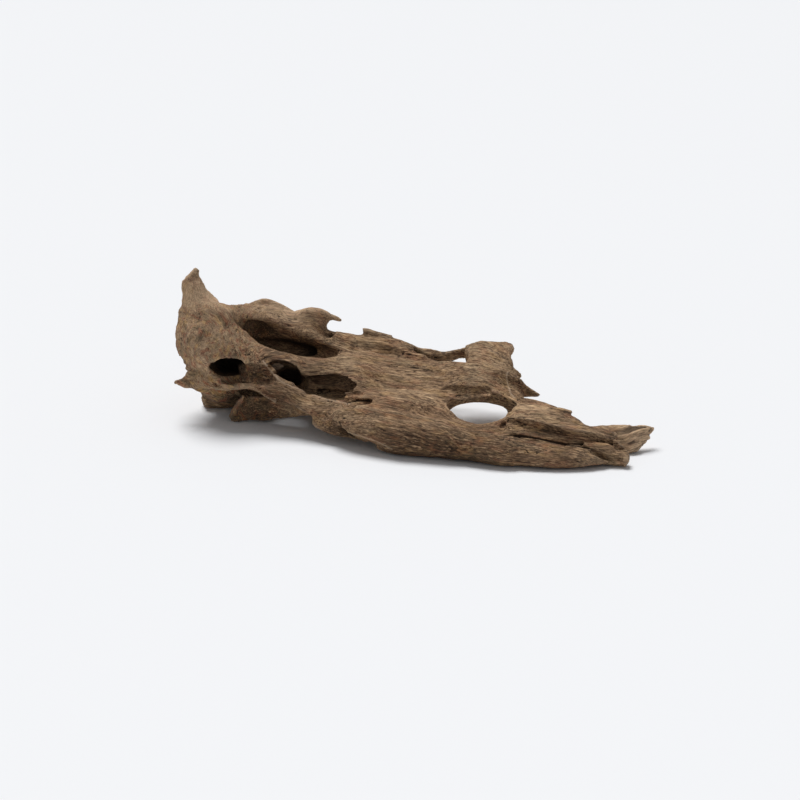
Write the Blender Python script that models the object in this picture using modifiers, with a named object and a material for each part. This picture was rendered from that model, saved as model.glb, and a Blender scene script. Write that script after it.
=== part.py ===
"""Dragon driftwood root: one piece of water-worn root wood, hollowed out by rot and current.

The piece is modelled as the wood grew. Strands of root are lofted through elliptical sections and fused
into one body, the hollows and holes are then carved out of it, and the surface is worn and grained.
The strands are drawn lying as the piece lies when it is looked at from its broad side: x to the right,
y away, z up. The finished piece is turned so that its length runs along X.
"""

import math

import bmesh
import bpy
from mathutils import Matrix, Vector

MM = 0.001

# Driving sizes of the finishing steps, in millimetres
FUSE_VOXEL = 1.3
CARVED_VOXEL = 1.15
FILLET = 2.5
RING_SIDES = 24
RINGS_PER_SPAN = 5
DOME_ANGLES = (30, 55, 78)
DOME_REACH = 0.95
BLUNT_SHARE = 0.8
SMOOTH_PASSES = 3
TRIANGLES = 11400

# The wear of the surface: lumps, and grooves along the grain, which dips and turns with the root
LUMP_SIZE = 26
LUMP_HEIGHT = 3.6
GROOVE_SIZE = 9
GROOVE_DEPTH = 2.4
GRAIN_STRETCH = 7
GRAIN_DIP = 6
GRAIN_TURN = 18.5

# The height of the floor cut with the size of its box, and the turn that brings the root's length onto X
FLOOR = 0.5
FLOOR_WIDTH = 600
FLOOR_DEPTH = 20
LENGTH_TURN = 18.5

SIDEWAYS = (0, 1, 0)

# A station of a strand is (x, y, z, half width, half height, roll): the middle of the section, its two
# half sizes in millimetres, and its turn about the strand in degrees. On a strand that runs to the right,
# a positive roll raises its far side. The width of a strand lies level, or along SIDEWAYS where it climbs.

STRANDS = {
    # The head burl, with its horn, its shoulder and its two thorns
    "head": dict(
        up=SIDEWAYS,
        stations=[
            (-124, -32, 27, 17, 17, 0),
            (-127, -30, 36, 17.5, 22, 0),
            (-131, -28, 46, 20, 24, 0),
            (-134, -26, 56, 21, 22, 0),
            (-135.5, -24, 65, 20.5, 18, 0),
            (-138, -21, 73, 16, 14, 0),
            (-139.5, -18, 80, 12, 10, 0),
            (-142, -17, 87, 9, 8, 0),
            (-144.5, -16, 94, 6.8, 6, 0),
            (-143.5, -15, 98.5, 4.2, 4.2, 0),
        ],
    ),
    "head_shoulder": dict(
        stations=[
            (-134, -34, 60, 20, 14, 0),
            (-118, -38, 54, 18, 11, 20),
            (-102, -42, 47.5, 13, 7, 22),
        ],
    ),
    "thorn": dict(
        stations=[
            (-124, -42, 30, 5, 12, 0),
            (-138, -44, 30, 4, 7.5, 0),
            (-147, -45, 28.8, 2.4, 3.4, 0),
            (-158, -45, 28.8, 0.9, 0.9, 0),
        ],
    ),
    "small_thorn": dict(
        stations=[
            (-138, -38, 38, 4, 5, 0),
            (-145, -37, 40, 2.8, 3, 0),
            (-153, -36, 41.5, 1.4, 1.5, 0),
        ],
    ),
    # The body of the root, from the head to the fin
    "core": dict(
        stations=[
            (-122, -26, 38, 20, 16, 0),
            (-104, -22, 33, 18, 13, 0),
            (-85, -18, 29, 16, 11, 8),
            (-60, -22, 27, 18, 10, 10),
            (-30, -32, 28, 20, 9, 14),
        ],
    ),
    "main_plate": dict(
        stations=[
            (-130, -40, 54, 18, 14, 15),
            (-110, -43, 50, 14, 9, 22),
            (-92, -45, 46, 12, 6.5, 18),
            (-74, -43, 41.5, 10, 5, 8),
            (-58, -43, 40, 11, 5, 18),
            (-42, -43, 38.5, 14, 6, 22),
            (-28, -45, 36.5, 22, 7, 21),
            (-8, -45, 32.5, 29, 8, 22),
            (18, -45, 31, 27, 8, 21),
            (42, -43, 32, 25, 7.5, 21),
            (60, -42, 33, 24, 6.5, 21),
            (71, -42, 32, 22, 6, 21),
        ],
    ),
    "beneath_plate": dict(
        stations=[
            (-66, -44, 26, 5, 6, 0),
            (-55, -46, 25, 6, 8, 0),
            (-42, -52, 25, 7, 9, 0),
            (-28, -58, 25, 8, 8, 0),
            (-15, -64, 25, 9, 8, 0),
        ],
    ),
    "beneath_bridge": dict(
        stations=[
            (-84, -57, 23, 4, 5, 0),
            (-68, -62, 21.5, 5, 5.5, 0),
            (-50, -68, 19.5, 8, 6, 0),
            (-32, -76, 17.5, 9, 7, 0),
            (-16, -82, 17, 9, 7, 0),
        ],
    ),
    "flap": dict(
        stations=[
            (-8, -70, 29, 7, 3.8, 22),
            (-22, -73, 28.5, 5, 2.8, 22),
            (-34, -75, 28, 2.6, 2, 15),
        ],
    ),
    # The far rim of the trough, with its peak, hook, ridge and spur, and the wall below it
    "far_rim": dict(
        stations=[
            (-130, -12, 66, 12, 10, 40),
            (-113, -6, 62, 12, 6, 48),
            (-94, -6, 62, 13, 6, 45),
            (-75, -10, 57, 12, 6, 42),
            (-58, -14, 52, 11, 5.5, 38),
            (-42, -16, 47.5, 11, 5.5, 34),
            (-25, -17, 45.5, 11, 5.5, 30),
            (-8, -18, 44.5, 11, 5.5, 28),
            (4, -19, 42.5, 9, 5, 25),
            (12, -20, 39, 7, 4.5, 22),
        ],
    ),
    "back_wall": dict(
        stations=[
            (-124, -8, 46, 8, 20, 0),
            (-105, -2, 41, 6, 21, -8),
            (-80, -3, 33, 6, 24, -8),
            (-58, -6, 27, 6, 21, -6),
            (-34, -10, 27, 6, 15, 0),
            (0, -13, 30, 5, 8, 0),
        ],
    ),
    "rim_peak": dict(
        up=SIDEWAYS,
        stations=[
            (-97, -2, 60, 9, 5, 0),
            (-96, 2, 67, 6, 3.5, 0),
            (-95, 4, 74, 2.4, 1.8, 0),
        ],
    ),
    "hook": dict(
        stations=[
            (-80, -6, 58, 7, 6, 35),
            (-71, -4, 64, 6, 5, 25),
            (-62, -4, 67, 4.5, 4, 15),
            (-52, -5, 65.5, 3, 2.6, 0),
            (-44, -5, 62.5, 1.4, 1.4, 0),
            (-38, -5, 60, 0.8, 0.8, 0),
        ],
    ),
    "rim_ridge": dict(
        stations=[
            (-64, -13, 54, 4, 3, 0),
            (-54, -18, 51.5, 3.5, 3, 0),
            (-44, -25, 47, 3.5, 3, 0),
            (-30, -32, 42.5, 4, 3, 0),
            (-14, -38, 38.5, 5, 3, 0),
        ],
    ),
    "rim_spur": dict(
        up=SIDEWAYS,
        bluntness=1,
        stations=[
            (-15, -12, 44, 8, 5, 0),
            (-20, -10, 50, 5.5, 3, 0),
            (-23.5, -9, 55, 3.4, 1.8, 0),
        ],
    ),
    # The strand beyond the slot, and the fin with its thorn
    "slot_strand": dict(
        stations=[
            (0, -14, 42, 5, 5, 20),
            (12, -12.5, 39, 4, 5.5, 10),
            (22, -11.5, 36.5, 3.4, 6, 0),
            (32, -12, 36.5, 3.2, 5, 0),
            (42, -14, 39.5, 4, 4.2, 10),
            (52, -20, 42, 6, 4.5, 20),
        ],
    ),
    "fin": dict(
        squareness=4,
        bluntness=1,
        stations=[
            (47, -31, 40, 14, 4.5, 26),
            (57, -30, 41, 15.5, 4.5, 26),
            (68, -29.5, 42, 15.5, 4.5, 25),
            (77, -29, 42.5, 11, 4, 25),
        ],
    ),
    "fin_corner": dict(
        squareness=4,
        bluntness=1,
        stations=[
            (66, -22, 46, 6, 4, 25),
            (74, -21, 46.5, 5, 3.6, 25),
            (80, -20.5, 46.5, 3.4, 3.2, 25),
        ],
    ),
    "fin_thorn": dict(
        stations=[
            (66, -46, 31, 6, 10, 0),
            (77, -48, 28, 3.6, 8.5, 0),
            (87, -51, 25, 2.6, 4.4, 0),
            (98, -54, 22.5, 0.9, 0.9, 0),
        ],
    ),
    "thorn_step": dict(
        stations=[
            (68, -41, 31, 6, 6, 0),
            (77, -40, 32, 4, 5, 0),
            (83, -39, 33, 2, 3, 0),
        ],
    ),
    # What runs round the big hole
    "hole_far_wall": dict(
        squareness=3,
        stations=[
            (14, -72, 22, 8, 7, 10),
            (30, -65, 25, 7, 6.5, 10),
            (50, -60, 26, 6.5, 6, 10),
            (66, -60, 25, 6.5, 6, 10),
            (80, -64, 23, 6, 6, 10),
        ],
    ),
    "hole_near_rim": dict(
        stations=[
            (28, -88, 20, 8, 6, 0),
            (42, -99, 16.5, 7, 5.5, 0),
            (54, -102, 15.5, 7, 5, 0),
            (66, -98, 16.5, 8, 5.5, 0),
            (76, -90, 18, 9, 6, 0),
        ],
    ),
    "hole_left_web": dict(
        stations=[
            (-38, -72, 27, 8, 4, 22),
            (-20, -76, 24, 14, 7, 22),
            (0, -79, 21.5, 18, 9, 22),
            (18, -80, 20, 18, 8, 22),
            (32, -82, 18.5, 16, 7, 18),
        ],
    ),
    "hole_right_web": dict(
        stations=[
            (74, -58, 24, 8, 7, 0),
            (76, -72, 20, 9, 7, 0),
            (78, -88, 18, 12, 8, 0),
        ],
    ),
    # The bridge, the near beam and the tail
    "bridge": dict(
        stations=[
            (-134, -46, 33, 5, 8, 0),
            (-120, -53, 34, 7, 7, 20),
            (-106, -56, 38, 8, 6, 35),
            (-94, -59, 40, 9.5, 4, 52),
            (-84, -62, 34, 9, 3.2, 55),
            (-72, -68, 27.5, 7, 2.8, 52),
            (-58, -75, 23.5, 7, 3, 46),
            (-42, -81, 20.5, 9, 4.5, 38),
            (-26, -87, 18, 12, 8, 28),
        ],
    ),
    "near_beam": dict(
        squareness=2.4,
        stations=[
            (-40, -88, 20, 7, 6, 30),
            (-24, -93, 17, 12, 9, 25),
            (-8, -98, 14, 14, 12, 12),
            (10, -103, 12.5, 15, 12.5, 6),
            (32, -107, 11.5, 15, 11.5, 4),
            (52, -111.5, 10.5, 15.5, 10.5, 0),
            (68, -116.5, 8.8, 16, 8.8, 0),
            (80, -119.5, 7, 15, 7, 0),
            (96, -121.5, 6.3, 14.5, 6.3, 0),
            (114, -121.5, 5.8, 14.5, 5.8, 0),
            (130, -121.5, 5.6, 12, 5.6, 0),
            (141, -125, 5.4, 7, 5.4, 0),
            (146, -129, 5, 3.5, 4, 0),
        ],
    ),
    "tail_block": dict(
        squareness=5,
        bluntness=1,
        stations=[
            (75, -92, 20.2, 17.5, 6.8, 5),
            (90, -94.5, 19.3, 17.5, 6.8, 5),
            (104, -99, 17.4, 14.5, 6.6, 7),
            (111, -103, 15.8, 11.5, 6.4, 8),
            (118, -107.5, 14, 8.5, 6.2, 9),
            (131, -111, 11.8, 7.5, 5.8, 10),
            (140, -114, 10.8, 6.5, 5.2, 10),
        ],
    ),
    "tail_fin": dict(
        stations=[
            (100, -98, 8, 6, 8, -30),
            (122, -99, 7.5, 5, 9.5, -35),
            (140, -100, 8, 4, 10.5, -38),
            (152, -100, 9, 3.2, 9.5, -38),
            (161, -96, 11, 2.6, 6.5, -30),
            (168, -92, 13, 1.6, 3, 0),
            (172, -90.5, 14, 0.9, 1.2, 0),
        ],
    ),
    # The feet
    "back_foot": dict(
        bluntness=1,
        stations=[
            (-139.5, -16, 7.5, 7.5, 7.5, 0),
            (-124, -15, 9, 8.5, 9, 0),
            (-105, -14, 14, 9, 12, 0),
            (-90, -16, 22, 10, 12, 0),
        ],
    ),
    "web_foot": dict(
        stations=[
            (-116, -45, 2.8, 2, 2, 0),
            (-109, -45.5, 5, 2.4, 4.2, 0),
            (-101, -46.5, 8.5, 3, 7.5, 0),
            (-91, -49, 11.5, 4, 9, 0),
            (-76, -54, 15, 4, 8.5, 0),
            (-60, -62, 18.5, 4.5, 6, 0),
            (-44, -72, 20, 6, 5, 0),
        ],
    ),
    "web_foot_spur": dict(
        up=SIDEWAYS,
        stations=[
            (-103, -46, 9, 3.5, 5, 0),
            (-106, -46.5, 15, 2.8, 3.2, 0),
            (-109, -47, 21, 1.2, 1.2, 0),
        ],
    ),
    "lobe_foot": dict(
        stations=[
            (-58, -81, 13.5, 2.2, 2, 0),
            (-51, -83, 12.5, 5, 4.5, 0),
            (-42, -86, 11.5, 6, 5.5, 0),
            (-30, -89, 12, 8, 6, 0),
            (-16, -93, 12, 9, 8, 0),
        ],
    ),
    "hidden_knee": dict(
        up=SIDEWAYS,
        bluntness=1,
        stations=[
            (-12, -22, 30, 11, 10, 0),
            (-2, -14, 21, 9, 9, 0),
            (6, -8, 13, 7, 8, 0),
            (12, -5, 6, 6, 6.5, 0),
            (14, -4, 2.5, 5.5, 6, 0),
        ],
    ),
    "knee_web": dict(
        stations=[
            (-44, -14, 30, 6, 8, 0),
            (-26, -14, 25, 5, 9, 0),
            (-8, -13, 20, 5, 8, 0),
            (6, -10, 15, 4.5, 6, 0),
            (20, -16, 27, 5, 6, 0),
        ],
    ),
}

HOLLOWS = {
    # The trough along the top, and the hollow in the face of the head
    "upper_trough": dict(
        stations=[
            (-108, -14, 66, 4, 4, 0),
            (-103, -16, 59, 8, 9, 0),
            (-93, -18, 54, 9, 12, 0),
            (-83, -21, 50, 8.5, 11, 0),
            (-74, -24, 46, 10, 12, 0),
            (-62, -27, 44, 10, 11, 0),
            (-52, -29, 44, 6, 7, 0),
            (-45, -29, 47, 3, 3, 0),
        ],
    ),
    "head_hollow": dict(
        stations=[
            (-118, -66, 44, 10.5, 5.5, 0),
            (-118, -56, 43.5, 12, 6.8, 0),
            (-117, -44, 43, 13, 8.5, 0),
            (-115, -32, 42, 11, 8, 0),
        ],
    ),
    "head_groove": dict(
        stations=[
            (-112, -62, 39, 7, 5, 0),
            (-102, -63, 40.5, 6, 5.5, 0),
            (-95, -64, 44, 3, 5, 0),
        ],
    ),
    # Behind the bridge: a deep hole, a scoop with a slit along its near side, and a pocket
    "hole_behind_bridge": dict(
        stations=[
            (-78, -62, 43, 11, 5, 22),
            (-77, -56, 39.5, 12, 6, 22),
            (-76, -48, 33, 13, 8, 15),
            (-75, -40, 26, 12, 8, 0),
            (-75, -34, 23, 8, 6, 0),
        ],
    ),
    "scoop": dict(
        stations=[
            (-66, -61, 35, 4, 4, 0),
            (-58, -65, 32.5, 8, 7, 20),
            (-46, -69, 31, 9, 7, 20),
            (-35, -72, 30, 7, 5.5, 20),
            (-28, -73, 29.5, 4, 3.5, 20),
        ],
    ),
    "scoop_slit": dict(
        stations=[
            (-62, -67, 29, 3, 4, -15),
            (-50, -72, 26.5, 3.4, 5.5, -15),
            (-38, -76, 25.5, 3, 4, -15),
        ],
    ),
    "pocket": dict(
        stations=[
            (-36, -81, 25, 4, 2.6, 30),
            (-28, -81.5, 25.4, 5, 3, 30),
            (-19, -80.5, 26.5, 4, 2.4, 30),
        ],
    ),
    # The slot at the far edge, dished where it is looked into
    "slot": dict(
        stations=[
            (12, -19, 46, 2, 16, 0),
            (18, -19.5, 42, 3, 18, 0),
            (28, -19.5, 40, 4, 18, 0),
            (38, -19.5, 40, 4.4, 18, 0),
            (43, -19.5, 42, 4, 18, 0),
        ],
    ),
    "slot_dip": dict(
        bluntness=1,
        stations=[
            (14, -25, 56, 6, 5, 0),
            (22, -26, 52, 12, 11, 0),
            (31, -26, 50.5, 15, 13, 0),
            (39, -26, 50, 15, 13.4, 0),
            (44.5, -25, 50, 14, 13, 0),
        ],
    ),
    "slot_view": dict(
        stations=[
            (36, -20, 36, 5, 2, -20),
            (40, -21, 35.4, 10, 3, -20),
            (45, -21, 35.4, 10, 3, -20),
        ],
    ),
    # The big hole, right through, and the crack under the tail block
    "big_hole": dict(
        up=SIDEWAYS,
        stations=[
            (54.5, -81, -4, 22.5, 16.8, 0),
            (54.5, -81, 60, 22.5, 16.8, 0),
        ],
    ),
    "tail_crack": dict(
        stations=[
            (70, -107, 17, 6, 1.3, 0),
            (80, -108, 15.8, 8, 1.5, 0),
            (92, -110, 14.6, 9, 1.7, 0),
            (104, -113, 13, 9, 2, 2),
            (114, -116, 12, 9, 2.3, 4),
            (120, -118, 11.6, 6, 2, 4),
        ],
    ),
    # Grooves on the hook, the rim and the lobe
    "hook_hollow": dict(
        stations=[
            (-53, -12, 57, 3.5, 3.5, 0),
            (-47, -10, 57.5, 4.5, 4, 0),
            (-38, -8, 57.5, 6, 4, 0),
        ],
    ),
    "rim_groove": dict(
        stations=[
            (-42, -20, 54, 3, 3, 0),
            (-28, -24, 50.5, 5, 4, 0),
            (-14, -27, 48.5, 6, 4.5, 0),
            (0, -30, 46, 6, 4.5, 0),
            (14, -34, 44, 6, 4, 0),
            (26, -36, 43.5, 4, 3, 0),
        ],
    ),
    "lobe_groove": dict(
        stations=[
            (-44, -95, 13, 2, 1.6, 0),
            (-35, -98.5, 11, 3, 2, 0),
            (-26, -102, 8, 3, 2, 0),
            (-14, -107, 5, 2.4, 1.6, 0),
        ],
    ),
    # Rot from below and from the back
    "under_beam": dict(
        stations=[
            (-20, -98, 6, 3, 3, 0),
            (6, -102, 1.5, 6, 5, 0),
            (36, -107, 0, 7, 5, 0),
            (70, -115, 0, 6, 4, 0),
            (104, -120, 0, 5, 3.5, 0),
            (122, -121, 0, 2.5, 2, 0),
        ],
    ),
    "under_head": dict(
        stations=[
            (-130, -34, 16, 5, 5, 0),
            (-120, -33, 20, 9, 9, 0),
            (-104, -32, 22, 9, 9, 0),
            (-88, -33, 18, 7, 8, 0),
        ],
    ),
    "under_plate": dict(
        stations=[
            (-28, -50, 14, 6, 5, 10),
            (-8, -54, 14, 13, 8, 20),
            (20, -52, 16, 14, 9, 20),
            (44, -44, 20, 10, 6, 20),
            (60, -40, 26, 5, 3, 20),
        ],
    ),
    "back_pocket": dict(
        stations=[
            (-104, 8, 47, 4, 5, 0),
            (-92, 6, 45, 6, 8, 0),
            (-76, 4, 43, 6, 9, 0),
            (-62, 3, 41, 4, 5, 0),
        ],
    ),
    "back_scoop": dict(
        stations=[
            (-118, 6, 30, 4, 4, 0),
            (-104, 5, 27, 7, 7, 0),
            (-84, 3, 25, 7, 7, 0),
            (-66, 0, 26, 6, 5, 0),
        ],
    ),
}


def shape_collection(name, shown=True):
    """A collection for the piece, or for the carving tools, which no render shows."""
    made = bpy.data.collections.new(name)
    bpy.context.scene.collection.children.link(made)
    made.hide_render = not shown
    return made


def object_of(name, mesh, collection):
    """A new object in the collection that holds this bmesh, which is freed."""
    data = bpy.data.meshes.new(name)
    mesh.to_mesh(data)
    mesh.free()
    made = bpy.data.objects.new(name, data)
    collection.objects.link(made)
    return made


def spline(t, a, b, c, d):
    """The value at share t of the span from b to c, on a smooth curve that also passes a and d."""
    linear = c - a
    square = 2 * a - 5 * b + 4 * c - d
    cube = 3 * b - a - 3 * c + d
    return b + 0.5 * (linear * t + square * t**2 + cube * t**3)


def catmull_rom(points, spans):
    """Smooth values through the stations: every column of the list is interpolated alike."""
    padded = [points[0]] + list(points) + [points[-1]]
    smooth = []
    for i in range(1, len(padded) - 2):
        before, start, end, after = padded[i - 1 : i + 3]
        for step in range(spans):
            t = step / spans
            smooth.append([spline(t, *column) for column in zip(before, start, end, after)])
    smooth.append(list(points[-1]))
    return smooth


def rounded(value, squareness):
    """A cosine or sine pushed outwards: 2 keeps the ellipse, more makes the section squarer."""
    return math.copysign(abs(value) ** (2 / squareness), value)


def tangent_at(centres, i):
    """The direction of a strand at one of its rings."""
    return (centres[min(i + 1, len(centres) - 1)] - centres[max(i - 1, 0)]).normalized()


def dome(centre, outward, tangent, half_width, half_height, roll, bluntness):
    """Shrinking sections beyond the end of a strand, close to its last ring if bluntness is 1."""
    reach = min(half_width, half_height) * (DOME_REACH - BLUNT_SHARE * bluntness)
    made = []
    for degrees in DOME_ANGLES:
        a = math.radians(degrees)
        at = centre + outward * reach * math.sin(a)
        made.append((at, tangent, half_width * math.cos(a), half_height * math.cos(a), roll))
    return made


def oval(centre, tangent, half_width, half_height, roll, up, squareness):
    """The points of one section, across the strand."""
    side = tangent.cross(Vector(up)).normalized()
    top = side.cross(tangent).normalized()
    turn = Matrix.Rotation(math.radians(roll), 3, tangent)
    points = []
    for k in range(RING_SIDES):
        a = 2 * math.pi * k / RING_SIDES
        out = half_width * rounded(math.cos(a), squareness)
        rise = half_height * rounded(math.sin(a), squareness)
        points.append(centre + turn @ (side * out + top * rise))
    return points


def loft(name, collection, stations, up=(0, 0, 1), squareness=2, bluntness=0):
    """A closed body lofted through oval sections. Its ends are domes, which bluntness 1 flattens."""
    rings = catmull_rom(stations, RINGS_PER_SPAN)
    centres = [Vector(ring[:3]) for ring in rings]
    tangents = [tangent_at(centres, i) for i in range(len(rings))]
    along = [(c, t, *ring[3:]) for c, t, ring in zip(centres, tangents, rings)]
    start = dome(centres[0], -tangents[0], tangents[0], *rings[0][3:], bluntness)
    end = dome(centres[-1], tangents[-1], tangents[-1], *rings[-1][3:], bluntness)

    mesh = bmesh.new()
    loops = []
    for section in start[::-1] + along + end:
        loops.append([mesh.verts.new(p * MM) for p in oval(*section, up, squareness)])
    for a, b in zip(loops, loops[1:]):
        for k in range(RING_SIDES):
            j = (k + 1) % RING_SIDES
            mesh.faces.new((a[k], a[j], b[j], b[k]))
    mesh.faces.new(reversed(loops[0]))
    mesh.faces.new(loops[-1])
    bmesh.ops.recalc_face_normals(mesh, faces=mesh.faces)
    return object_of(name, mesh, collection)


def joined(name, objects, collection):
    """One object holding the meshes of several, which are removed."""
    mesh = bmesh.new()
    for obj in objects:
        mesh.from_mesh(obj.data)
        bpy.data.objects.remove(obj)
    return object_of(name, mesh, collection)


def voxel_fuse(obj, size):
    """Overlapping bodies become one skin of even squares."""
    fuse = obj.modifiers.new("fuse", "REMESH")
    fuse.mode = "VOXEL"
    fuse.voxel_size = size * MM
    fuse.adaptivity = 0


def swell(obj, amount):
    """Moves the skin out along its normals, or in if the amount is negative."""
    grow = obj.modifiers.new("swell", "DISPLACE")
    grow.strength = amount * MM
    grow.mid_level = 0


def smooth(obj, passes):
    soften = obj.modifiers.new("soften", "SMOOTH")
    soften.factor = 0.5
    soften.iterations = passes


def apply_all(obj):
    """The evaluated shape becomes the object's own mesh."""
    bpy.context.view_layer.update()
    evaluated = obj.evaluated_get(bpy.context.evaluated_depsgraph_get())
    data = bpy.data.meshes.new_from_object(evaluated)
    obj.modifiers.clear()
    obj.data = data


def keep_largest_body(obj):
    """Drops loose scraps, and fills any hollow that fusing sealed, by keeping the largest shell."""
    mesh = bmesh.new()
    mesh.from_mesh(obj.data)
    unseen = set(mesh.verts)
    bodies = []
    while unseen:
        start = unseen.pop()
        body = [start]
        for vertex in body:
            for edge in vertex.link_edges:
                other = edge.other_vert(vertex)
                if other in unseen:
                    unseen.remove(other)
                    body.append(other)
        bodies.append(body)
    bodies.sort(key=len)
    for body in bodies[:-1]:
        bmesh.ops.delete(mesh, geom=body, context="VERTS")
    mesh.to_mesh(obj.data)
    mesh.free()


def clouds(name, size, depth):
    noise = bpy.data.textures.new(name, "CLOUDS")
    noise.noise_scale = size * MM
    noise.noise_depth = depth
    noise.noise_basis = "BLENDER_ORIGINAL"
    return noise


def wear(obj, collection):
    """Lumps all over, and grooves drawn out along the grain, then the mesh is thinned to its triangles."""
    grain = bpy.data.objects.new("grain_direction", None)
    grain.rotation_euler = (0, math.radians(GRAIN_DIP), math.radians(-GRAIN_TURN))
    grain.scale = (GRAIN_STRETCH, 1, 1)
    collection.objects.link(grain)
    lumps = obj.modifiers.new("lumps", "DISPLACE")
    lumps.texture = clouds("lumps", LUMP_SIZE, 2)
    lumps.texture_coords = "LOCAL"
    lumps.strength = LUMP_HEIGHT * MM
    grooves = obj.modifiers.new("grooves", "DISPLACE")
    grooves.texture = clouds("grooves", GROOVE_SIZE, 1)
    grooves.texture_coords = "OBJECT"
    grooves.texture_coords_object = grain
    grooves.strength = GROOVE_DEPTH * MM
    thin = obj.modifiers.new("thin", "DECIMATE")
    thin.use_collapse_triangulate = True
    bpy.context.view_layer.update()
    thin.ratio = TRIANGLES / (2 * len(obj.data.polygons))
    apply_all(obj)
    bpy.data.objects.remove(grain)


def flat_feet(obj, collection):
    """Cuts off what is below the floor, which leaves a small flat spot on each foot."""
    box = bmesh.new()
    bmesh.ops.create_cube(box, size=1)
    bmesh.ops.scale(box, verts=box.verts, vec=(FLOOR_WIDTH * MM, FLOOR_WIDTH * MM, FLOOR_DEPTH * MM))
    bmesh.ops.translate(box, verts=box.verts, vec=(0, 0, (FLOOR - FLOOR_DEPTH / 2) * MM))
    floor = object_of("floor_cut", box, collection)
    floor.hide_render = True
    floor.display_type = "WIRE"
    cut = obj.modifiers.new("floor_cut", "BOOLEAN")
    cut.operation = "DIFFERENCE"
    cut.solver = "MANIFOLD"
    cut.object = floor
    apply_all(obj)
    bpy.data.objects.remove(floor)


def to_part_frame(obj):
    """Turns the length onto X and puts the middle of the box over the origin, feet on z = 0."""
    obj.data.transform(Matrix.Rotation(math.radians(LENGTH_TURN), 4, "Z"))
    low = [min(v.co[i] for v in obj.data.vertices) for i in range(3)]
    high = [max(v.co[i] for v in obj.data.vertices) for i in range(3)]
    middle = Vector(((low[0] + high[0]) / 2, (low[1] + high[1]) / 2, low[2]))
    obj.data.transform(Matrix.Translation(-middle))
    print("box in mm:", [round((h - a) / MM, 1) for a, h in zip(low, high)])
    print("moved by, in mm:", [round(-c / MM, 2) for c in middle])


def wood_material():
    wood = bpy.data.materials.new("driftwood")
    wood.use_nodes = True
    shader = wood.node_tree.nodes["Principled BSDF"]
    shader.inputs["Base Color"].default_value = (0.20, 0.13, 0.08, 1)
    shader.inputs["Roughness"].default_value = 0.85
    return wood


def main():
    for obj in list(bpy.data.objects):
        bpy.data.objects.remove(obj)
    piece = shape_collection("dragon_driftwood_root")
    tools = shape_collection("carving_tools", shown=False)

    strands = [loft(name, tools, **shape) for name, shape in STRANDS.items()]
    root = joined("driftwood_root", strands, piece)
    voxel_fuse(root, FUSE_VOXEL)
    swell(root, FILLET)
    voxel_fuse(root, FUSE_VOXEL)
    swell(root, -FILLET)
    apply_all(root)

    carvings = [loft(name, tools, **shape) for name, shape in HOLLOWS.items()]
    hollows = joined("hollows", carvings, tools)
    hollows.hide_render = True
    hollows.display_type = "WIRE"
    voxel_fuse(hollows, FUSE_VOXEL)
    apply_all(hollows)
    # The exact solver takes minutes on meshes this fine
    carve = root.modifiers.new("carve", "BOOLEAN")
    carve.operation = "DIFFERENCE"
    carve.solver = "MANIFOLD"
    carve.object = hollows
    voxel_fuse(root, CARVED_VOXEL)
    smooth(root, SMOOTH_PASSES)
    apply_all(root)
    bpy.data.objects.remove(hollows)
    keep_largest_body(root)

    wear(root, tools)
    flat_feet(root, tools)
    to_part_frame(root)
    root.data.materials.append(wood_material())
    for face in root.data.polygons:
        face.use_smooth = False
    return root


ROOT = main()
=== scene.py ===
# %% [markdown]
# # A piece of dragon driftwood root
#
# The real object is one piece of root wood. Water and sand have worn it, rot has hollowed it out, and it has
# dried to a warm grey-brown. It lies on a white table under soft light from above and behind.
#
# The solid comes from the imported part. This lesson gives it a finer skin: first the skin itself, then the
# direction of the wood's fibres, then the relief that follows them, then the colour. It could be sculpted by
# hand instead, but a rule for the fibres gives grooves, cracks and colour that all run the same way.

# %% Load the fixed frame
import math
from functools import partial

import bmesh
import bpy
import numpy as np
from mathutils import Matrix, Vector
from mathutils.bvhtree import BVHTree


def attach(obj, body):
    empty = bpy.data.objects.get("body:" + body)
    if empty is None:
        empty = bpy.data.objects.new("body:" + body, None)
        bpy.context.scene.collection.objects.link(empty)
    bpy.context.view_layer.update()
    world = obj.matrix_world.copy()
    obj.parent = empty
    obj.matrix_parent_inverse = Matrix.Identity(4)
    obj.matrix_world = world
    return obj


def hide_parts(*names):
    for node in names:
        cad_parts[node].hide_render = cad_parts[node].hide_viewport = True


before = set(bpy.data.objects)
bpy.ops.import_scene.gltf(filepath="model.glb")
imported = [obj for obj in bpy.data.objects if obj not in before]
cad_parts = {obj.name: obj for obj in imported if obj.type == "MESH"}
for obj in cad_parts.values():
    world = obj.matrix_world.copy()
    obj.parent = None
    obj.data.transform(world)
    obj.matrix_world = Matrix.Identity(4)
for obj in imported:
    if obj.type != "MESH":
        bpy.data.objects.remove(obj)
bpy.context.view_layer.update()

NODE = "driftwood_root"
MM = 0.001

# %% [markdown]
# ## The camera and the photo's axes
#
# The photo looks across a table, slightly down, at the root's broad side. Its axes are handy for placing what
# the photo shows: x to the right, y away, z up. The root's own length is turned a little from them.
#
# The camera could be set by eye. Here its angle, distance and lens are numbers, so a ray through any of the
# photo's 800 by 800 pixels finds its point on the root. That puts a crack on the surface that carries it,
# seen from any side.

# %% Camera
# The turn from the part's axes to the photo's, and the photo's zero point, which the camera aims at
TURN = math.radians(18.5)
AIM = Vector((-24.47, 51.2, -0.5)) * MM

# The camera's angle above the table and its distance in metres, its lens and sensor in millimetres, and the
# photo's width in pixels
ELEVATION = math.radians(20)
DISTANCE = 1.2
LENS, SENSOR, PIXELS = 75, 36, 800

PHOTO_AXES = Matrix.Translation(AIM) @ Matrix.Rotation(TURN, 4, "Z")

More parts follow.
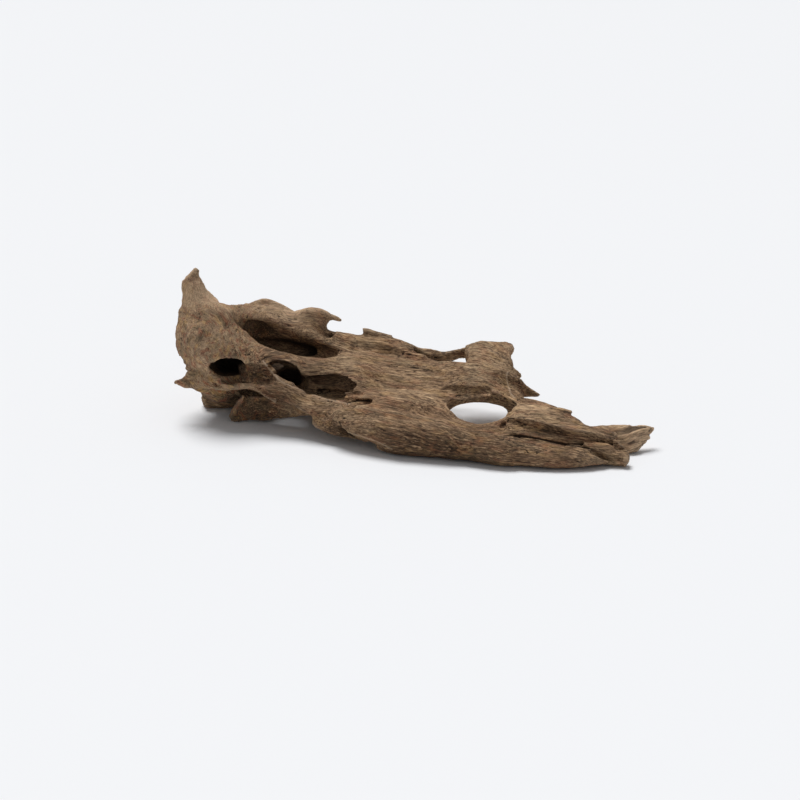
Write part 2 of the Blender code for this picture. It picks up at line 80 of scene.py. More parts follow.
camera_data = bpy.data.cameras.new("photo_camera")
camera_data.lens, camera_data.sensor_width = LENS, SENSOR
camera = bpy.data.objects.new("photo_camera", camera_data)
bpy.context.scene.collection.objects.link(camera)
stand = Matrix.Translation((0, -DISTANCE * math.cos(ELEVATION), DISTANCE * math.sin(ELEVATION)))
camera.matrix_world = PHOTO_AXES @ stand @ Matrix.Rotation(math.radians(90) - ELEVATION, 4, "X")
bpy.context.scene.camera = camera
bpy.context.view_layer.update()
print("camera at", [round(c, 3) for c in camera.matrix_world.translation])

# %% [markdown]
# ## Helpers for meshes
#
# A few short functions serve the whole lesson. Modifiers could be applied with operators, but those need the
# right object selected. Asking Blender for the evaluated mesh gives the same result anywhere.


# %% Helpers for meshes
def new_object(name, data):
    made = bpy.data.objects.new(name, data)
    bpy.context.scene.collection.objects.link(made)
    return made


def object_of(name, mesh):
    """A new object that holds this bmesh, which is freed."""
    data = bpy.data.meshes.new(name)
    mesh.to_mesh(data)
    mesh.free()
    return new_object(name, data)


def add_modifier(obj, kind, **settings):
    modifier = obj.modifiers.new(kind.lower(), kind)
    for name, value in settings.items():
        setattr(modifier, name, value)
    return modifier


def apply_modifiers(obj):
    """What the modifiers make becomes the object's own mesh."""
    bpy.context.view_layer.update()
    evaluated = obj.evaluated_get(bpy.context.evaluated_depsgraph_get())
    data = bpy.data.meshes.new_from_object(evaluated)
    obj.modifiers.clear()
    obj.data = data


def points_of(mesh):
    flat = np.empty(len(mesh.vertices) * 3, np.float32)
    mesh.vertices.foreach_get("co", flat)
    return flat.reshape(-1, 3).astype(float)


def store(mesh, name, values):
    """Keeps one number or one vector for each vertex under a name that nodes can read."""
    kind = "FLOAT" if values.ndim == 1 else "FLOAT_VECTOR"
    layer = mesh.attributes.new(name, kind, "POINT")
    layer.data.foreach_set("value" if values.ndim == 1 else "vector", values.astype(np.float32).ravel())


# %% [markdown]
# ## The skin
#
# The solid has about eleven thousand flat triangles, a few millimetres each. A voxel remesh cuts it into even
# squares finer than the grooves that it has to carry, and a short smoothing melts the old facets. A
# subdivision surface would do that too, but it rounds off thorns and leaves long triangles long.

# %% Make the skin
# The solid's triangles come loose, and their corners are joined where they are this close
MERGE = 1e-6
MELT_VOXEL = 0.9 * MM
MELT_PASSES = 5

skin = new_object("root_skin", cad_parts[NODE].data.copy())
mesh = bmesh.new()
mesh.from_mesh(skin.data)
bmesh.ops.remove_doubles(mesh, verts=mesh.verts, dist=MERGE)
mesh.to_mesh(skin.data)
mesh.free()

add_modifier(skin, "REMESH", mode="VOXEL", voxel_size=MELT_VOXEL)
add_modifier(skin, "SMOOTH", factor=0.5, iterations=MELT_PASSES)
apply_modifiers(skin)
print("skin:", len(skin.data.vertices), "points")

# %% [markdown]
# ## Sharper forms
#
# The solid is a little blunt: its thorns are round, its crack is wide, and its broken ends are smooth. Each
# of these is drawn again as a strand, a closed tube through a few sections. Some strands are cut away, which
# is how rot and breakage shaped the real root. The others are built up: thorns, edges and floors. Sculpting
# would need a hand on the mouse. Strands are numbers, so the root is the same each time.
#
# A section is (x, y, z, half width, half height), in millimetres in the photo's axes. A sixth number rolls
# it by so many degrees. With a squareness of 2 it is an oval, and with 8 almost a box.

# %% Strands to cut away
# Which way a section's height points: up on a strand that lies, and away from the viewer on one that stands
LEVEL, UPRIGHT = (0, 0, 1), (0, 1, 0)

CUT_AWAY = {
    # The horn's two sides, and the notch between the burl and the thorns under it
    "horn_left": dict(
        squareness=5,
        sections=[(-150, -34, 101.9, 9, 6, -43), (-150, 4, 101.9, 9, 6, -43)],
    ),
    "horn_right": dict(
        sections=[(-118.6, -40, 97.8, 19.8, 19.8), (-118.6, 8, 97.8, 19.8, 19.8)],
    ),
    "burl_below": dict(
        sections=[(-157.5, -66, 39, 10, 8), (-157, -30, 39, 9.5, 8), (-156, 2, 39, 8, 8)],
    ),
    # The trough behind the head, and its near lip
    "trough_deep": dict(
        sections=[
            (-109, -13, 60, 4, 4), (-100, -12.5, 56.5, 7, 7.5), (-90, -15.5, 52, 7, 7),
            (-78, -20, 48.5, 8, 8), (-66, -24, 45, 9, 8), (-54, -27.5, 44, 8, 7), (-44, -30, 45, 4, 4),
        ],
    ),
    "trough_lip": dict(
        sections=[(-84, -31, 58, 5, 5), (-72, -34, 54, 7, 6), (-60, -36, 52, 8, 6), (-50, -36, 51, 6, 5)],
    ),
    # The cave behind the bridge, and the channel that leads to it from the head
    "behind_bridge": dict(
        sections=[
            (-80.5, -64, 44.5, 7, 4, 15), (-80, -55, 42.4, 11, 5.4, 15),
            (-78.5, -46, 36.5, 12.5, 8.5, 10), (-77, -36, 29.5, 11.5, 7.5, 0),
            (-77, -27, 26.5, 9, 7, 0), (-77, -20, 25, 5, 4, 0),
        ],
    ),
    "head_channel": dict(
        sections=[
            (-121, -60, 39, 6, 5), (-111, -57.5, 39, 9, 7.8), (-101, -58, 39.8, 8, 7.6),
            (-93, -60.5, 39.5, 7.5, 7), (-86, -66, 37, 4.5, 4),
        ],
    ),
    # On the near beam, the split above its lobe, and the flat front of its block
    "lobe_split": dict(
        sections=[
            (-42, -94.5, 15.5, 2, 2), (-39.5, -95, 12.5, 4, 3.4), (-36.5, -95.5, 10, 4.8, 3.6),
            (-31, -97, 7.4, 4, 3), (-24, -100.5, 5, 3.5, 2.6), (-16, -104.5, 3, 3, 2),
        ],
    ),
    "block_face": dict(
        squareness=8,
        sections=[
            (66, -104.5, 24.5, 5, 6), (73, -106.9, 24, 5, 6), (98, -115.5, 22, 5, 6),
            (117, -122, 20, 5, 6), (139, -122.2, 14.5, 5, 5.5),
        ],
    ),
    # The step at the right of the big hole, and the dent above the hole's left edge
    "step_face": dict(
        sections=[
            (77.5, -46, 39.5, 3, 2.6), (78.5, -54, 37, 4.4, 3.6), (80, -62, 33.5, 5, 4.4),
            (82.5, -70, 31, 5, 4.6), (84, -76, 30.4, 4, 4),
        ],
    ),
    "hole_funnel": dict(
        sections=[
            (26, -66, 34, 4, 3), (33, -66.5, 32, 6, 4.4), (42, -66, 30.4, 7, 5),
            (52, -65, 29.8, 6, 4.4), (62, -63, 30, 4, 3),
        ],
    ),
    # The bite under the hooked spur, and the valley in front of it
    "hook_bite": dict(
        sections=[(-47, -16, 58, 3.4, 3.4), (-47, -6, 58, 3.4, 3.4), (-47, 4, 58, 3.4, 3.4)],
    ),
    "hook_valley": dict(
        sections=[
            (-66, -11, 66, 2, 2), (-58, -13.5, 60.5, 3.4, 3.2), (-52, -15.5, 55.5, 3.6, 3.4),
            (-46, -14, 52, 3, 3),
        ],
    ),
    # The scoop beside the bridge, and the slit under it
    "scoop_deep": dict(
        sections=[
            (-63, -51, 34, 4, 2.5), (-54, -53, 33, 7, 4.5), (-45, -55.5, 33, 8, 5.5),
            (-37, -59, 32.5, 7, 5), (-30, -64, 31.5, 4, 2.8),
        ],
    ),
    "scoop_slit": dict(
        sections=[
            (-58, -55, 25.6, 5, 1.5), (-48, -58, 25.4, 7, 3), (-40, -61, 25.2, 7, 3.4),
            (-34, -64.5, 25, 4.5, 2),
        ],
    ),
    # The flat break at the tail's end
    "end_facet": dict(
        sections=[
            (123, -126, 13.6, 4, 4), (130, -127.6, 12.6, 6, 6), (137, -130.6, 10.6, 6, 6),
            (143, -134.5, 8, 4, 4),
        ],
    ),
    # The big hole: one cut straight down, and one slanted the way that the photo looks through it
    "hole_edge": dict(
        up=UPRIGHT,
        sides=44,
        sections=[
            (55.6, -80.4, -4, 27, 20), (55, -81, 14, 24.4, 18.2), (54.8, -81.2, 30, 23.6, 17.6),
            (54.8, -81.2, 60, 23.6, 17.6),
        ],
    ),
    "hole_seen": dict(
        sides=44,
        sections=[(53.4, -84, 21.8, 19.5, 6.2), (53.2, -60, 13, 20.4, 6.6), (53, -24, 0, 20.6, 6.6)],
    ),
    # The two notches of the split tail fin
    "fin_notch": dict(
        sections=[(167, -93.4, 0.5, 2.6, 2.4), (167, -103.6, 15.5, 2.6, 2.4)],
    ),
    "fin_notch_low": dict(
        sections=[(161, -98, -5.5, 2.4, 2.2), (161, -107.5, 9, 2.4, 2.2)],
    ),
}
print(len(CUT_AWAY), "strands to cut away")

# %% Strands to build up
BUILT_UP = {
    # The horn's point, and the small thorn on the burl's left side
    "horn_point": dict(
        up=UPRIGHT,
        sections=[(-143, -16, 91, 5, 4.5), (-142.2, -15.5, 97, 2.6, 2.8), (-142, -15.5, 101, 1, 1)],
    ),
    "small_thorn": dict(
        sections=[(-134, -39, 43, 5, 4.5), (-142, -39, 42.8, 3, 2.6), (-148.6, -39, 42, 1.1, 1)],
    ),
    # The strand of wood from the big hole to the block, and the floor of the crack under the block
    "strand_to_block": dict(
        sections=[
            (74, -64, 23.5, 4, 2.5), (84, -69, 23.4, 5, 2.6), (93, -75, 23.2, 6, 2.6),
            (102, -82, 22, 6, 2.4),
        ],
    ),
    "crack_floor": dict(
        sections=[
            (70, -105, 16.4, 5, 2.8), (84, -108.6, 14.8, 5, 2.7), (98, -111, 12.8, 5, 2.6),
            (110, -112, 11.4, 5, 2.6), (121, -112.5, 10.6, 5, 2.6),
        ],
    ),
    # The web foot's thin plate, and the edge at its left
    "web_plate": dict(
        sections=[
            (-110, -47.5, 10, 2, 7), (-104, -48, 12, 2.2, 8), (-96, -48.5, 12.5, 2.2, 7.5),
            (-86, -50, 14, 2.4, 6.5), (-74, -55, 16, 3, 4),
        ],
    ),
    "web_edge": dict(
        up=UPRIGHT,
        sections=[
            (-107.5, -49.5, 21, 1, 1), (-109.5, -48.8, 16.5, 2.4, 2.2), (-113, -46.8, 9, 3, 2.8),
            (-116.6, -44.8, 3.4, 2.2, 2),
        ],
    ),
    # The channel's floor, which faces the viewer, and the sill under it
    "channel_floor": dict(
        sections=[
            (-110, -41, 36, 2, 5), (-103, -44, 37, 3, 9), (-93, -48, 37.5, 3, 9),
            (-86, -55, 36, 2.5, 6),
        ],
    ),
    "sill": dict(
        sections=[
            (-126, -57, 29.8, 2.5, 2), (-114.3, -59, 30.9, 2.5, 1.8), (-103.3, -60, 31.8, 2.5, 1.8),
            (-96.4, -61, 30.6, 2.8, 2), (-89.6, -63.5, 27.4, 3, 2.2), (-82.6, -67, 24.5, 3, 2.2),
        ],
    ),
    # The tongue beside the scoop, and the floor of the pocket under it
    "tongue": dict(
        sections=[
            (-37, -67, 25.4, 1.4, 1.1), (-31, -69.5, 26.6, 2.6, 1.9), (-23, -73, 27.4, 3.4, 2.4),
            (-13, -77, 27.4, 3.4, 2.4),
        ],
    ),
    "pocket_floor": dict(
        sections=[(-34, -71.5, 23.4, 3.5, 2.4), (-25, -74.5, 23.8, 5, 3), (-15, -78.5, 24.4, 4, 2.6)],
    ),
    # On the far rim, the hook's tip, a peak and a spur
    "hook_tip": dict(
        sections=[(-52, -5, 65.4, 2.6, 2.2), (-46, -5, 63.2, 1.8, 1.6), (-41.6, -5, 61.3, 0.8, 0.8)],
    ),
    "far_peak": dict(
        sections=[
            (-107, 0, 69.5, 3, 2.6), (-100, 1, 72, 3, 2.4), (-95, 1.7, 73.6, 2.4, 1.8),
            (-88, 1, 71, 3, 2.4), (-80, 0, 67, 3, 2.4), (-72, -1, 62.5, 3, 2.4),
        ],
    ),
    "far_spur": dict(
        sections=[
            (-26, -10, 54.6, 1.6, 2.4), (-23.6, -10, 54.4, 2.4, 2.6), (-17, -10.5, 52.6, 3, 2.4),
            (-6, -11, 50, 3, 2),
        ],
    ),
    # The tail's broken end and the block beside it: their bodies, ridges, ledge and edges
    "end_body": dict(
        sections=[
            (120, -117, 9, 6, 5), (130, -120, 9, 6, 5), (137, -124, 7.5, 5, 4.5),
            (143, -127.5, 4.5, 3, 3),
        ],
    ),
    "block_shoulder": dict(
        sections=[(98, -89, 24.5, 3.5, 2.5), (106, -91, 24.4, 3.8, 3), (113, -93, 22.8, 3.2, 3.2)],
    ),
    "end_ridge": dict(
        sections=[
            (130, -113, 14.2, 1.5, 1.5), (138, -115.5, 13.8, 1.4, 1.8), (143, -120.5, 10.4, 1.4, 2.4),
            (147.2, -125.5, 5.6, 1.3, 2.2), (144, -129.5, 2.6, 1.4, 1.4),
        ],
    ),
    "ledge": dict(
        sections=[(108, -119.5, 10.6, 2, 1.4), (116, -121, 11, 1.8, 1.5), (122, -122, 10.4, 1.2, 1)],
    ),
    "block_front": dict(
        sections=[
            (70, -101.5, 18.8, 5, 2.4), (88, -105.5, 16.6, 5.4, 2.4), (108, -111, 14, 5, 2.4),
            (122, -114, 12, 4, 2),
        ],
    ),
    "block_edge": dict(
        squareness=8,
        sections=[
            (70, -95.5, 21.5, 4.5, 3.5), (98, -105, 20, 5, 3.5), (117, -111.5, 18, 5, 3.5),
            (128, -112, 15.5, 4.6, 3.5), (138, -112, 12.8, 4, 3.2),
        ],
    ),
    # The large thorn at the burl's lower left, thick where it leaves the burl
    "thorn_web": dict(
        sections=[
            (-134, -43, 38, 3, 6), (-142, -44, 33.5, 2.6, 5), (-147.5, -45, 30.8, 1.8, 2.8),
            (-155, -45, 29, 0.8, 0.9),
        ],
    ),
}
print(len(BUILT_UP), "strands to build up")


# %% Turn sections into tubes
def through(stations, steps=6):
    """Catmull-Rom: smooth rows of numbers that pass through the given ones."""
    rows = [stations[0], *stations, stations[-1]]
    made = []
    for a, b, c, d in zip(rows, rows[1:], rows[2:], rows[3:]):
        a, b, c, d = (np.array(row, float) for row in (a, b, c, d))
        square = 2 * a - 5 * b + 4 * c - d
        cube = 3 * b - a - 3 * c + d
        for t in np.arange(steps) / steps:
            made.append(b + 0.5 * ((c - a) * t + square * t**2 + cube * t**3))
    return [*made, np.array(stations[-1], float)]


def ring(centre, tangent, half_width, half_height, roll=0, *, up, squareness, sides):
    """The corners of one oval section, across the strand."""
    side = tangent.cross(Vector(up)).normalized()
    top = side.cross(tangent).normalized()
    turn = Matrix.Rotation(math.radians(roll), 3, tangent)
    corners = []
    for k in range(sides):
        angle = math.tau * k / sides
        out, rise = (math.copysign(abs(f(angle)) ** (2 / squareness), f(angle)) for f in (math.cos, math.sin))
        corners.append(centre + turn @ (side * half_width * out + top * half_height * rise))
    return corners


def strand(mesh, sections, up=LEVEL, squareness=2, sides=20):
    """Adds a closed tube through oval sections to a bmesh, in the part's own axes and metres."""
    rows = through(sections)
    centres = [Vector(row[:3]) for row in rows]
    loops = []
    for i, row in enumerate(rows):
        tangent = (centres[min(i + 1, len(rows) - 1)] - centres[max(i - 1, 0)]).normalized()
        corners = ring(centres[i], tangent, *row[3:], up=up, squareness=squareness, sides=sides)
        loops.append([mesh.verts.new(PHOTO_AXES @ (corner * MM)) for corner in corners])
    for a, b in zip(loops, loops[1:]):
        for k in range(len(a)):
            j = (k + 1) % len(a)
            mesh.faces.new((a[k], a[j], b[j], b[k]))
    mesh.faces.new(reversed(loops[0]))
    mesh.faces.new(loops[-1])


def strands(name, shapes):
    """One object with all the strands of a list, faces outwards."""
    mesh = bmesh.new()
    for shape in shapes.values():
        strand(mesh, **shape)
    bmesh.ops.recalc_face_normals(mesh, faces=mesh.faces)
    return object_of(name, mesh)


# %% Cut and build up
TOOL_VOXEL = 0.7 * MM
SKIN_VOXEL = 0.78 * MM
SKIN_PASSES = 1

# The strands cross each other, and the remesh makes one closed tool of them, as the MANIFOLD solver needs
tools = strands("cutting_strands", CUT_AWAY)
add_modifier(tools, "REMESH", mode="VOXEL", voxel_size=TOOL_VOXEL)
apply_modifiers(tools)
add_modifier(skin, "BOOLEAN", operation="DIFFERENCE", solver="MANIFOLD", object=tools)
apply_modifiers(skin)
bpy.data.objects.remove(tools)

added = strands("added_strands", BUILT_UP)
mesh = bmesh.new()
mesh.from_mesh(skin.data)
mesh.from_mesh(added.data)
mesh.to_mesh(skin.data)
mesh.free()
bpy.data.objects.remove(added)
add_modifier(skin, "REMESH", mode="VOXEL", voxel_size=SKIN_VOXEL)
add_modifier(skin, "SMOOTH", factor=0.5, iterations=SKIN_PASSES)
apply_modifiers(skin)
print("cut and built up:", len(skin.data.vertices), "points")


# %% Drop loose scraps
def keep_largest_body(obj):
    """Deletes the scraps that a cut left loose, and gives their number."""
    mesh = bmesh.new()
    mesh.from_mesh(obj.data)
    unseen, bodies = set(mesh.verts), []
    while unseen:
        body = [unseen.pop()]
        for vertex in body:
            for edge in vertex.link_edges:
                other = edge.other_vert(vertex)
                if other in unseen:
                    unseen.remove(other)
                    body.append(other)
        bodies.append(body)
    bodies.sort(key=len)
    for body in bodies[:-1]:
        bmesh.ops.delete(mesh, geom=body, context="VERTS")
    mesh.to_mesh(obj.data)
    mesh.free()
    return len(bodies) - 1


print("scraps dropped:", keep_largest_body(skin), "- skin:", len(skin.data.vertices), "points")

# %% [markdown]
# ## How the fibres run
#
# Wood fibres keep their share of the root's width: they fan out where it widens, and part round a hole as
# water parts round a post. That has a known formula, the flow round a cylinder, which gives each point its
# place across the fibres. At the head the fibres bend upwards into the horn, round a pivot above its neck.
# In a few places, such as the fin, they turn and rise by a known angle, so space is twisted there. The
# direction could be combed by hand, but rules reach the back and the insides of the hollows too.
#
# The result is three lengths in millimetres for each point: along the fibres, across them, and in depth.
# Kept beside them: where the wood is torn, bleached (partly painted light), soft with rot, or given painted
# shade.

# %% The root's edges, holes and turns
# The two long edges in plan: y where each one crosses x = 0, and its slope. The near one is level outside
# its span. The fibres between them count as this wide
NEAR_EDGE, NEAR_SLOPE, NEAR_SPAN = -98, -0.28, (-120, 140)
FAR_EDGE, FAR_SLOPE = -14, -0.05
WIDTH = 80

# The height of the wood's middle falls to the right, and curves up to the left of the head's start
MIDDLE_HEIGHT, MIDDLE_SLOPE = 34, -0.07
HEAD_START, HEAD_RISE = -60, 0.0006

# Left of this x the fibres swing round the pivot at (x, z), and this radius sets their length there
HORN_PIVOT = (-106, 92)
HORN_RADIUS = 46

# Each hole is its middle in the photo's axes, and the radius that the fibres go round, in millimetres
HOLES = {
    "big_hole": (54.5, -81, 20),
    "hole_behind_bridge": (-76, -50, 9),
    "scoop": (-47, -67, 8),
    "trough": (-62, -25, 10),
    "trough_left": (-92, -18, 9),
    "slot": (30, -20, 8),
}

# Each turn is its middle, the radius that it fades over, and two angles in degrees: how far the fibres turn
# towards the viewer on the right, and how far they rise there
TURNS = {
    "fin": (66, -28, 42, 22, 32, 0),
    "bridge": (-70, -70, 28, 16, 14, -10),
    "tail_fin": (155, -100, 9, 20, -27, 17),
    "web_foot": (-95, -50, 12, 16, 0, 18),
}
print("fibres part round", len(HOLES), "holes and turn in", len(TURNS), "places")

# %% Torn, bleached, painted-shade and soft places
# Each place is an amount, its middle, and its radius along each axis. First, where the wood is torn
TORN = {
    "tail_fin": (1, 158, -98, 9, 16, 16, 16),
    "block_end": (0.8, 138, -116, 12, 10, 10, 10),
    "foot_end": (0.8, -138, -18, 8, 9, 9, 9),
    "horn_tip": (0.3, -143, -16, 97, 8, 8, 8),
}

# Where sun has bleached it, and where painted light brightens the horn, the far rim and the fins
BLEACHED_AND_PAINTED_LIGHT = {
    "horn": (1, -130, -15, 84, 26, 24, 22),
    "far_rim": (0.8, -78, 0, 68, 44, 16, 11),
    "burl": (0.55, -132, -40, 54, 30, 30, 24),
    "fin": (0.25, 72, -32, 42, 34, 22, 14),
    "tail_fin": (1, 158, -98, 9, 20, 14, 14),
}
# Painted shade: where shadows fall and faces turn from the light, the colour is darkened
PAINTED_SHADE = {
    "feet": (0.85, -112, -36, 10, 42, 34, 18),
    "bridge": (0.75, -84, -71, 24, 30, 10, 12),
    "trough": (1, -90, -6, 54, 24, 10, 10),
    "trough_right": (1, -66, -14, 47, 19, 9, 8),
    "slot": (0.8, 34, -24, 38, 16, 6, 8),
    "beam": (1, 30, -120, 6, 100, 19, 19),
    "channel": (1, -98, -47, 37, 14, 11, 11),
    "web_plate": (1, -94, -52, 12, 24, 8, 10),
    "cave": (1, -80, -44, 37, 13, 16, 9),
    "cave_back": (1, -82, -30, 35.5, 11, 8, 9),
    "lobe": (0.9, -41, -90, 13, 10, 5, 7),
    "beam_start": (0.5, 0, -100, 24, 34, 12, 12),
    "block_front": (0.95, 95, -111, 18, 34, 6, 5),
}

# Where rot has left soft edges
SOFT_PLACES = {
    "trough": (0.9, -78, -20, 50, 36, 24, 16),
    "scoop": (0.5, -46, -57, 33, 18, 9, 9),
    "hole": (0.8, 54, -99, 28, 24, 8, 14),
    "funnel": (0.9, 42, -62, 28, 22, 7, 7),
}

# In the burl the fibres are short and swirl. It comes in from the first x to the second, and most of it
# fades out again towards the horn, from the first height to the second
BURL_SPAN = (-88, -118)
BURL_TOP, BURL_TOP_FADE = (66, 84), 0.7
BURL_SHORTENING = 2

# The back foot, under the burl, has long fibres again. It comes in over these heights and these y
FOOT_TOP = (30, 22)
FOOT_FRONT = (-42, -34)


# %% Fibre coordinates
def in_photo_axes(points):
    """The points in millimetres, right, away and up as the photo shows them."""
    turn = np.array(PHOTO_AXES.inverted())
    return (points @ turn[:3, :3].T + turn[:3, 3]) / MM


def turned(x, y, z):
    """Space, twisted so that fibres keep to their own direction in each of the turns."""
    for cx, cy, cz, radius, plan, rise in TURNS.values():
        fade = np.exp(-((x - cx) ** 2 + (y - cy) ** 2) / radius**2)
        plan, rise = math.radians(plan) * fade, math.radians(rise) * fade
        dx, dy, dz = x - cx, y - cy, z - cz
        dx, dy = dx * np.cos(plan) - dy * np.sin(plan), dx * np.sin(plan) + dy * np.cos(plan)
        dx, dz = dx * np.cos(rise) + dz * np.sin(rise), dz * np.cos(rise) - dx * np.sin(rise)
        x, y, z = cx + dx, cy + dy, cz + dz
    return x, y, z


def fibre_coordinates(points):
    """How far each point lies along the fibres, across them and in depth, in millimetres."""
    x, y, z = turned(*in_photo_axes(points).T)
    beyond = np.maximum(HORN_PIVOT[0] - x, 0)
    above = HORN_PIVOT[1] - z
    bent = beyond > 0
    radius = np.hypot(beyond, above)
    swing = np.arctan2(beyond, above)
    along = np.where(bent, HORN_PIVOT[0] - HORN_RADIUS * swing, x)
    level = np.where(bent, HORN_PIVOT[1] - radius, z)
    near = NEAR_EDGE + NEAR_SLOPE * np.clip(x, *NEAR_SPAN)
    far = FAR_EDGE + FAR_SLOPE * x
    across = (y - near) / (far - near) * WIDTH
    parted, stretched = across.copy(), along.copy()
    for cx, cy, hole in HOLES.values():
        middle_near = NEAR_EDGE + NEAR_SLOPE * cx
        middle_far = FAR_EDGE + FAR_SLOPE * cx
        middle = (cy - middle_near) / (middle_far - middle_near) * WIDTH
        share = hole**2 / np.maximum((x - cx) ** 2 + (y - cy) ** 2, hole**2)
        parted -= (across - middle) * share
        stretched += (x - cx) * share
    head = np.maximum(HEAD_START - along, 0)
    depth = level - (MIDDLE_HEIGHT + MIDDLE_SLOPE * along + HEAD_RISE * head**2)
    return np.stack([stretched, parted, depth], axis=1)


# %% Keep them on the skin
def ramp(values, start, end):
    """0 at the start, 1 at the end, and a soft step between. The end may be the lower of the two."""
    t = np.clip((values - start) / (end - start), 0, 1)
    return t * t * (3 - 2 * t)


def near_to(points, places):
    """The amount at the middle of each place, fading to 0 over its three radii."""
    share = np.zeros(len(points))
    for amount, x, y, z, *radii in places.values():
        share = np.maximum(share, amount * np.exp(-(((points - (x, y, z)) / radii) ** 2).sum(axis=1)))
    return share


points = points_of(skin.data)
photo_points = in_photo_axes(points)
right, away, up = photo_points.T
fibre = fibre_coordinates(points)
foot = ramp(up, *FOOT_TOP) * ramp(away, *FOOT_FRONT)
burl = ramp(right, *BURL_SPAN) * (1 - BURL_TOP_FADE * ramp(up, *BURL_TOP)) * (1 - foot)
fibre[:, 0] += (fibre[:, 0] - BURL_SPAN[0]) * BURL_SHORTENING * burl
store(skin.data, "fibre", fibre)
store(skin.data, "burl", burl)
for name, places in {"torn": TORN, "soft": SOFT_PLACES, "bleached_and_painted_light": BLEACHED_AND_PAINTED_LIGHT, "painted_shade": PAINTED_SHADE}.items():
    store(skin.data, name, near_to(photo_points, places))
print("fibres: along", fibre[:, 0].min().round(), "to", fibre[:, 0].max().round(), "mm")

# %% [markdown]
# ## Shelter
#
# Dirt and rot stay where rain and hands can't reach, and shade falls there too, so sheltered places are
# darkened as painted shade as well as rot. Points on a thinned copy of the skin each send out a fan of rays:
# the share that hits wood soon says how sheltered the point is. The fine skin reads it from there. A shader
# can measure this at every render. Measured once, it is kept with the mesh.

# %% Measure shelter
# The share of the skin's faces that the copy keeps, the rays from each point, how far they reach, and how far
# off the wood they start, in millimetres, so that they don't hit their own start
GUIDE_SHARE = 0.12
RAYS = 40
REACH = 45 * MM
CLEARANCE = 0.4


def fan_of_rays(count):
    """Directions over a half sphere, most of them near its pole, spread by the golden angle."""
    golden = math.pi * (3 - math.sqrt(5))
    fan = []
    for k in range(count):
        height = math.sqrt(1 - (k + 0.5) / count)
        flat = math.sqrt(1 - height**2)
        fan.append(Vector((flat * math.cos(k * golden), flat * math.sin(k * golden), height)))
    return fan


def shelter_at(tree, point, normal, fan):
    """0 in the open, and nearer 1 the more rays hit wood and the sooner they do."""
    turn = normal.to_track_quat("Z", "Y")
    start = point + normal * CLEARANCE * MM
    hits = 0.0
    for ray in fan:
        distance = tree.ray_cast(start, turn @ ray, REACH)[3]
        if distance is not None:
            hits += 1 - distance / REACH
    return hits / len(fan)


shelter_guide = new_object("shelter_guide", skin.data.copy())
add_modifier(shelter_guide, "DECIMATE", ratio=GUIDE_SHARE)
apply_modifiers(shelter_guide)
mesh = bmesh.new()
mesh.from_mesh(shelter_guide.data)
wood_tree = BVHTree.FromBMesh(mesh)
fan = fan_of_rays(RAYS)
shelter = np.array([shelter_at(wood_tree, v.co, v.normal, fan) for v in mesh.verts])
mesh.free()
store(shelter_guide.data, "shelter", shelter)
middle, most = np.median(shelter).round(3), shelter.max().round(3)
print("shelter of", len(shelter), "points: middle", middle, "most", most)

# %% [markdown]
# ## Lines seen in the photo
#
# Some edges are crisp and pale, where the wood has worn to a thin rim. Some lines are cracks, cut in and
# darkened with dirt and with painted shade along their grooves. They could be painted on the mesh. Instead a
# few points along each line are picked in the photo, in pixels, and a ray from the camera drops each one onto
# the wood, so that a line is easy to move.

# %% Rims and cracks
RIMS = {
    "bridge_top": [
        (263, 361), (271, 371), (279, 380), (292, 387),
        (305, 391), (318, 397), (333, 401), (350, 404),
    ],
    "beam_end": [(341, 425), (344, 429), (352, 433), (364, 437), (376, 441), (392, 449)],
    "step": [(508, 372), (506.5, 376), (507.5, 382), (509, 388), (511, 394), (514.5, 398)],
}

# Cut in and darkened: dirt, and painted shade along their grooves
CRACKS = {
    "under_block": [(506, 435), (520, 436), (535, 438), (550, 441), (565, 444), (589, 448)],
    "lobe_split": [(339, 422), (342, 427), (347, 432), (354, 437)],
    "pocket": [(348, 402.5), (354, 401), (362, 400.5), (369, 401)],
}

# A ray has slipped past the line's own wood where it lands this much nearer or farther than the point before
SLIP = 12 * MM


def seen_at(u, v, nearby=None):
    """The wood at a pixel. If the ray slips past, the wood nearest to it at the last point's distance."""
    half = SENSOR / 2 / LENS
    across, down = (u / (PIXELS / 2) - 1) * half, (v / (PIXELS / 2) - 1) * half
    eye = camera.matrix_world.translation
    ray = (camera.matrix_world.to_3x3() @ Vector((across, -down, -1))).normalized()
    hit, _, _, distance = wood_tree.ray_cast(eye, ray)
    if nearby is not None and (hit is None or abs(distance - (nearby - eye).length) > SLIP):
        hit = wood_tree.find_nearest(eye + ray * (nearby - eye).length)[0]
    return hit


def dropped(name, lines):
    """An object with one chain of edges for each line, lying on the wood."""
    mesh = bmesh.new()
    for pixels in lines.values():
        last_point, last_vertex = None, None
        for u, v in through(pixels):
            last_point = seen_at(u, v, last_point)
            vertex = mesh.verts.new(last_point)
            if last_vertex:
                mesh.edges.new((last_vertex, vertex))
            last_vertex = vertex
    length = sum(edge.calc_length() for edge in mesh.edges)
    print(name, "have", len(lines), "lines,", round(length / MM), "mm in all")
    return object_of(name, mesh)


rim_guide = dropped("rims", RIMS)
crack_guide = dropped("cracks", CRACKS)

# %% [markdown]
# ## A helper for node trees
#
# Geometry Nodes and materials are both trees of nodes. They could be wired by hand in the node editor. Here
# one function adds any node: its settings by name, and its inputs in order, or by name in a dict. It gives
# back one of the node's outputs, ready for the next node. Below, put is this function for one tree.

# %% Node helper
MATH, VECTOR_MATH, MIX = "ShaderNodeMath", "ShaderNodeVectorMath", "ShaderNodeMix"
NOISE, CELLS, STEP = "ShaderNodeTexNoise", "ShaderNodeTexVoronoi", "ShaderNodeMapRange"
NAMED, KEEP = "GeometryNodeInputNamedAttribute", "GeometryNodeStoreNamedAttribute"
BLUR, OBJECT = "GeometryNodeBlurAttribute", "GeometryNodeObjectInfo"
SOFT = dict(interpolation_type="SMOOTHSTEP")
COLOURS = dict(data_type="RGBA")


